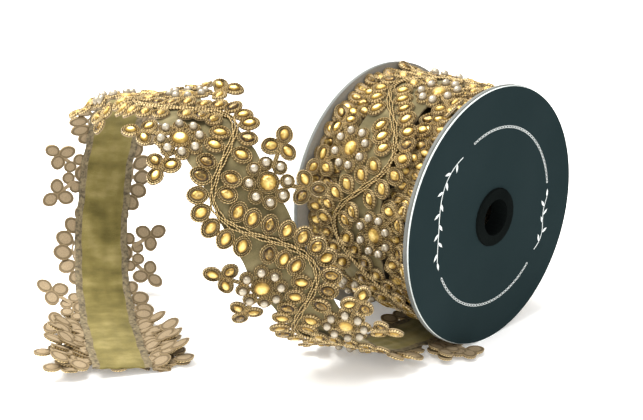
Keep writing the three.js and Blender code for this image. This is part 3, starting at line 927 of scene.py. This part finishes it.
def tailKeeps(s, v, reach):
    underFlange = s + reach > ribbon["phase"] - ribbon["flangeClear"]
    beside = v > ribbon["width"] / 2 + ribbon["flangeSideClear"]
    return s + reach < tailTo and s > tailFrom + ribbon["step"] and not (underFlange and beside)


def liftOffFloor(points):
    # what would sink into the table is pressed flat between it and the cloth above
    low, high, table = points[:, 2].min(), points[:, 2].max(), ribbon["restHeight"]
    if low < table:
        room = max(high - table, ribbon["pressedHeight"])
        points[:, 2] = table + (points[:, 2] - low) * room / (high - low)
    return points


def clearRim(points):
    # what would go into the near flange from below hangs lower, under its rim
    offAxis = np.hypot(points[:, 1] - axisY, points[:, 2] - axisZ)
    aside = points[:, 0] - axisX
    clear = ribbon["rimClear"]
    under = (aside > reel["boardInner"] - clear) & (aside < cardOuter + clear)
    points[:, 2] -= np.where(under, np.maximum(0, reel["flangeRadius"] + clear - offAxis), 0).max()
    return points


def curlEdges(flat):
    bent = flat.copy()
    for first, last, side, start, degrees in edgeCurls:
        along = flat[:, 0] * 1000
        fade = np.clip(np.minimum(along - first, last - along) / curlFade["along"], 0, 1)
        past = np.maximum(0, side * bent[:, 1] - start / 1000)
        angle = math.radians(degrees) * fade * np.clip(past / curlFade["across"], 0, 1)
        bent[:, 1] -= side * (past * (1 - np.cos(angle)) + bent[:, 2] * np.sin(angle))
        bent[:, 2] = bent[:, 2] * np.cos(angle) + past * np.sin(angle)
    return bent


def bendTail(flat):
    return liftOffFloor(clearRim(placeOnTail(curlEdges(flat))))


tailLace, tailGems, tailPearls = buildLace("loose", tailFrom, tailTo, tailKeeps, bendTail, 0.2,
                                            tuckedTrefoils, spreadTrefoils, footBunch)


def velvetStrip(name, start, stop, bend, step=0.002, rows=24, ripple=0.0):
    # one sheet: velvet in front, and behind it velvet between two stitched selvedges
    alongs = np.linspace(start, stop, round((stop - start) / step) + 1)
    acrosses = np.linspace(-ribbon["width"] / 2, ribbon["width"] / 2, rows + 1)
    phases = [random.uniform(0, 6) for k in range(5)]
    flat = []
    for s in alongs:
        wander = 0.0004 * math.sin(s * 140 + phases[0]) + 0.0003 * math.sin(s * 310 + phases[1])
        for v in acrosses:
            edge = abs(v) / (ribbon["width"] / 2)
            wave = math.sin(s * 160 + phases[2] + v * 30) + 0.6 * math.sin(s * 420 + phases[3])
            rise = ripple * wave * edge ** 2 + 0.0002 * math.sin(v * 700 + phases[4])
            flat.append((s, v + wander * edge, rise))
    count = rows + 1
    faces, uv, slots = [], [], []
    for i in range(len(alongs) - 1):
        for k in range(rows):
            a = i * count + k
            faces.append([a, a + count, a + count + 1, a + 1])
            uv += patchCorners(alongs[i], alongs[i + 1], acrosses[k], acrosses[k + 1])
            middle = abs(acrosses[k] + acrosses[k + 1]) / 2
            slots.append(1 if middle > ribbon["width"] / 2 - ribbon["selvedge"] else 2)
    obj = meshObject(name, bend(np.array(flat)), faces, uv, slots,
                     (frontVelvet, plain["selvedge"], backVelvet))
    applyModifier(obj, "SOLIDIFY", thickness=ribbon["thickness"], offset=0.0)
    lift = bend(np.array([[alongs[0], 0, 0.001], [alongs[0], 0, 0]]))
    outward = Vector(lift[0] - lift[1])
    polygons = obj.data.polygons
    frontFirst = polygons[rows // 2].normal.dot(outward) > 0
    front = range(len(faces)) if frontFirst else range(len(faces), 2 * len(faces))
    for index in front:
        polygons[index].material_index = 0
    smoothByAngle(obj, 45)
    return obj


tailVelvet = velvetStrip("loose_velvet", tailFrom, ribbon["phase"], placeOnTail, ripple=0.0004)
finishPiece(tailVelvet, "olive_velvet", "tail_ribbon")
finishPiece(tailLace, "gold_trim", "tail_lace")
finishPiece(tailGems, "gold_trim")
finishPiece(tailPearls, "gold_trim")
print("loose end made")


# Roll

def rollKeeps(s, v, reach):
    return s - reach >= roll["laceFrom"] and s + reach <= roll["laceTo"]


rollLace, rollGems, rollPearls = buildLace(
    "roll", roll["laceFrom"], roll["laceTo"], rollKeeps, placeOnRoll, 0.05)


def deeperLace(prefix, drop, shift, curlStart, seed):
    # the edges of the lace of an inner turn, which show in the gaps of the outer one
    random.seed(seed)

    def edgeOnly(s, v, reach):
        return abs(v) > roll["deeperFrom"]

    def bend(flat):
        return placeOnRoll(flat + np.array([shift, 0, 0]), drop, curlStart)

    return buildLace(prefix, 0.0, turnLength, edgeOnly, bend, 0.05, bunched=turnBunch, vine=False)


secondLace = deeperLace("second", drop=0.0034, shift=0.041, curlStart=0.038, seed=11)
thirdLace = deeperLace("third", drop=0.0068, shift=0.077, curlStart=0.040, seed=12)
rollVelvet = velvetStrip("roll_velvet", roll["seamAt"], turnLength + roll["seamAt"] - roll["seamGap"],
                         placeOnRoll)


def makeStack():
    deselectAll()
    bpy.ops.mesh.primitive_cylinder_add(
        vertices=160, radius=roll["stackRadius"], depth=2 * roll["halfWidth"], end_fill_type="NOTHING",
        location=(axisX, axisY, axisZ), rotation=(0, math.pi / 2, 0))
    obj = bpy.context.object
    obj.name = "wound_turns"
    bpy.ops.object.transform_apply(location=True, rotation=True)
    applyModifier(obj, "SOLIDIFY", offset=-1.0,
                  thickness=roll["stackRadius"] - roll["coreRadius"] - roll["coreGap"])
    # the stack of inner turns carries painted shade, dark olive-brown
    obj.data.materials.append(plain["shadedWoundCloth"])
    smoothByAngle(obj, 40)
    return obj


woundTurns = makeStack()
finishPiece(woundTurns, "gold_lace", "ribbon_roll")
for piece in (rollLace, rollGems, rollPearls, rollVelvet, *secondLace, *thirdLace):
    finishPiece(piece, "gold_lace")
print("roll made")


# Reel

def turnedRing(name, profile, sides, materials):
    # a ring turned about the reel's axis; the profile lists (radius, along the axis) all round,
    # and the materials are the faces' and the rim's
    deselectAll()
    bpy.ops.mesh.primitive_circle_add(vertices=sides, radius=profile[0][0], location=(0, 0, profile[0][1]))
    obj = bpy.context.object
    obj.name = name
    bpy.ops.object.transform_apply(location=True)
    editAll()
    for (radius, along), (nextRadius, nextAlong) in zip(profile, profile[1:] + profile[:1]):
        extrudeUp(nextAlong - along)
        share = nextRadius / radius
        resizeFlat(share, share)
    bpy.ops.mesh.select_all(action="SELECT")
    bpy.ops.mesh.remove_doubles(threshold=1e-6)
    bpy.ops.mesh.normals_make_consistent(inside=False)
    leaveEdit()
    obj.rotation_euler = (0, math.pi / 2, 0)
    obj.location = (axisX, axisY, axisZ)
    activate(obj)
    bpy.ops.object.transform_apply(location=True, rotation=True)
    for corner in obj.data.vertices:
        corner.co.z = max(corner.co.z, 0)
    for material in materials:
        obj.data.materials.append(material)
    for p in obj.data.polygons:
        p.material_index = 0 if abs(p.normal.x) > 0.9 else 1
    smoothByAngle(obj, 35)
    return obj


def makeDisc(name, side, inner, thickness, radius, bevel, materials):
    hole, lip = reel["holeRadius"], reel["lip"]
    half = [(hole, 0), (hole, thickness), (hole + lip, thickness),
            (radius - bevel - lip, thickness), (radius - bevel, thickness), (radius, thickness - bevel),
            (radius, bevel), (radius - bevel, 0), (radius - bevel - lip, 0), (hole + lip, 0)]
    return turnedRing(name, [(r, side * (inner + along)) for r, along in half], 192, materials)


for side, word in ((1, "near"), (-1, "far")):
    board = makeDisc("board_" + word, side, reel["boardInner"], reel["boardThickness"],
                     reel["flangeRadius"], bevel=0.0004,
                     materials=(plain["greyBoard"], plain["shadedBoardEdge"]))
    finishPiece(board, "grey_board", "flange_board_" + word)
    card = makeDisc("card_" + word, side, cardInner, reel["cardThickness"],
                    reel["flangeRadius"] - reel["cardInset"], bevel=0.0003,
                    materials=(plain["darkCard"], plain["whiteEdge"]))
    finishPiece(card, "dark_card", "face_card_" + word)


# The print on the near card: two arcs of rope, and a plain leafy sprig in each gap

cardPrint = {
    "face": cardOuter + 0.00002,
    "thickness": 0.00004,
    "ringRadius": 0.0613,
    "ropeArcs": ((9, 114), (-153, -47)),
    "ropeTwist": 0.0062,
    "ropeSwing": 0.0008,
    "ropeLine": 0.00062,
    "sprigArcs": ((126, 195), (-37, -1)),
    "sprigSwing": 0.0025,
    "sprigLine": 0.0006,
    "sprigPoints": 60,
    "leafEvery": 0.0062,
    "leafLength": 0.0062,
    "leafWidth": 0.0021,
    "leafTurn": 0.75,
}


def printStroke(verts, faces, radii, angles, width):
    # a flat line through points given as radius and angle
    first = len(verts)
    middle = np.column_stack([radii * np.cos(angles), radii * np.sin(angles)])
    normal = lineNormals(middle) * np.reshape(width, (-1, 1)) / 2
    for left, right in zip(middle + normal, middle - normal):
        verts += [(left[0], left[1]), (right[0], right[1])]
    for k in range(len(middle) - 1):
        a = first + 2 * k
        faces.append([a, a + 1, a + 3, a + 2])


def printLeaf(verts, faces, radius, angle, turn):
    # a pointed leaf from a place on the card, turned from the direction along the ring
    first = len(verts)
    foot = np.array([radius * math.cos(angle), radius * math.sin(angle)])
    aim = angle + math.pi / 2 + turn
    forward = np.array([math.cos(aim), math.sin(aim)])
    across = np.array([-forward[1], forward[0]])
    length, width = cardPrint["leafLength"], cardPrint["leafWidth"]
    outline = [(0, 0), (0.3, -0.8), (0.6, -0.9), (1, 0), (0.6, 0.9), (0.3, 0.8)]
    for out, side in outline:
        verts.append(tuple(foot + forward * out * length + across * side * width / 2))
    faces.append([first + k for k in range(len(outline))])


def makePrint():
    verts, faces = [], []
    ring, dots = cardPrint["ringRadius"], cardPrint["sprigPoints"]
    for start, stop in cardPrint["ropeArcs"]:
        turns = round(math.radians(stop - start) * ring / cardPrint["ropeTwist"])
        angles = np.radians(np.linspace(start, stop, turns * 8 + 1))
        phase = np.linspace(0, 2 * math.pi * turns, len(angles))
        for strand in (-1, 1):
            radii = ring + strand * cardPrint["ropeSwing"] * np.sin(phase)
            printStroke(verts, faces, radii, angles, cardPrint["ropeLine"] * (0.25 + np.cos(phase) ** 2))
    for start, stop in cardPrint["sprigArcs"]:
        length = math.radians(stop - start) * ring
        angles = np.radians(np.linspace(start, stop, dots))
        radii = ring + cardPrint["sprigSwing"] * np.sin(np.linspace(0, 2 * math.pi, dots))
        printStroke(verts, faces, radii, angles, cardPrint["sprigLine"])
        count = int(length / cardPrint["leafEvery"])
        for k in range(1, count):
            place = round((dots - 1) * k / count)
            turn = cardPrint["leafTurn"] if k % 2 else -cardPrint["leafTurn"]
            printLeaf(verts, faces, radii[place], angles[place], turn)
        printLeaf(verts, faces, radii[-1], angles[-1], 0.0)
    points = [(axisX + cardPrint["face"], axisY + y, axisZ + z) for y, z in verts]
    obj = meshObject("card_print", points, faces, materials=(plain["silverPrint"],))
    activate(obj)
    editAll()
    bpy.ops.mesh.extrude_region_move(TRANSFORM_OT_translate={"value": (cardPrint["thickness"], 0, 0)})
    bpy.ops.mesh.select_all(action="SELECT")
    bpy.ops.mesh.normals_make_consistent(inside=False)
    leaveEdit()
    return obj


finishPiece(makePrint(), "dark_card")
for node, look in (("hub_near", "blackPlastic"), ("hub_far", "blackPlastic"), ("core_tube", "brownTube")):
    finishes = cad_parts[node].data.materials
    finishes.clear()
    finishes.append(plain[look])
print("reel made")


# Camera, floor and light

view = {
    "sensor": 36,
    "focalPixels": 1300,
    "widthPixels": 643,
    "azimuth": math.radians(43.9),
    "elevation": math.radians(19.5),
    "fromMiddle": (0.5341, -0.6685, 0.3826),
    "clip": (0.05, 20),
}


def addAimed(data, location, ahead):
    # a camera or a lamp that looks ahead from its place
    obj = bpy.data.objects.new(data.name, data)
    bpy.context.scene.collection.objects.link(obj)
    obj.location = location
    obj.rotation_mode = "QUATERNION"
    obj.rotation_quaternion = ahead.to_track_quat("-Z", "Y")
    return obj


def addCamera():
    data = bpy.data.cameras.new("camera")
    data.sensor_width = view["sensor"]
    data.lens = view["focalPixels"] / view["widthPixels"] * view["sensor"]
    data.clip_start, data.clip_end = view["clip"]
    azimuth, elevation = view["azimuth"], view["elevation"]
    back = Vector((math.sin(azimuth) * math.cos(elevation), -math.cos(azimuth) * math.cos(elevation),
                   math.sin(elevation)))
    bpy.context.scene.camera = addAimed(data, Vector(view["fromMiddle"]) + reelMiddle, -back)


def addFloor():
    deselectAll()
    bpy.ops.mesh.primitive_plane_add(size=6, location=(0, 0, 0))
    floor = bpy.context.object
    floor.name = "floor"
    # the floor glows a little as well as being lit: painted light that lifts the shadows cast on it
    material, tree, shader = newMaterial("glowingPaleFloor")
    setInputs(shader, Base_Color=(0.96, 0.96, 0.955, 1), Roughness=0.8,
               Emission_Color=(1, 0.99, 0.97, 1), Emission_Strength=0.22)
    floor.data.materials.append(material)


def addSoftLight(name, location, aim, size, power, colour):
    data = bpy.data.lights.new(name, "AREA")
    data.shape = "DISK"
    data.size = size
    data.energy = power
    data.color = colour
    addAimed(data, location, Vector(aim) - Vector(location))


def addWorld():
    world = bpy.data.worlds.new("studio")
    world.use_nodes = True
    setInputs(world.node_tree.nodes["Background"], Color=(1, 1, 1, 1), Strength=0.92)
    bpy.context.scene.world = world
    bpy.context.scene.view_settings.view_transform = "Standard"


addCamera()
addFloor()
addSoftLight("keyLight", location=(-0.4, -0.25, 1.45), aim=(0, 0, 0.05), size=1.6, power=56,
             colour=(1, 0.985, 0.95))
addSoftLight("fillLight", location=(1.4, -0.8, 0.9), aim=(0, 0, 0.08), size=1.2, power=5,
             colour=(0.97, 0.99, 1))
addWorld()
print("camera, floor and lights made")
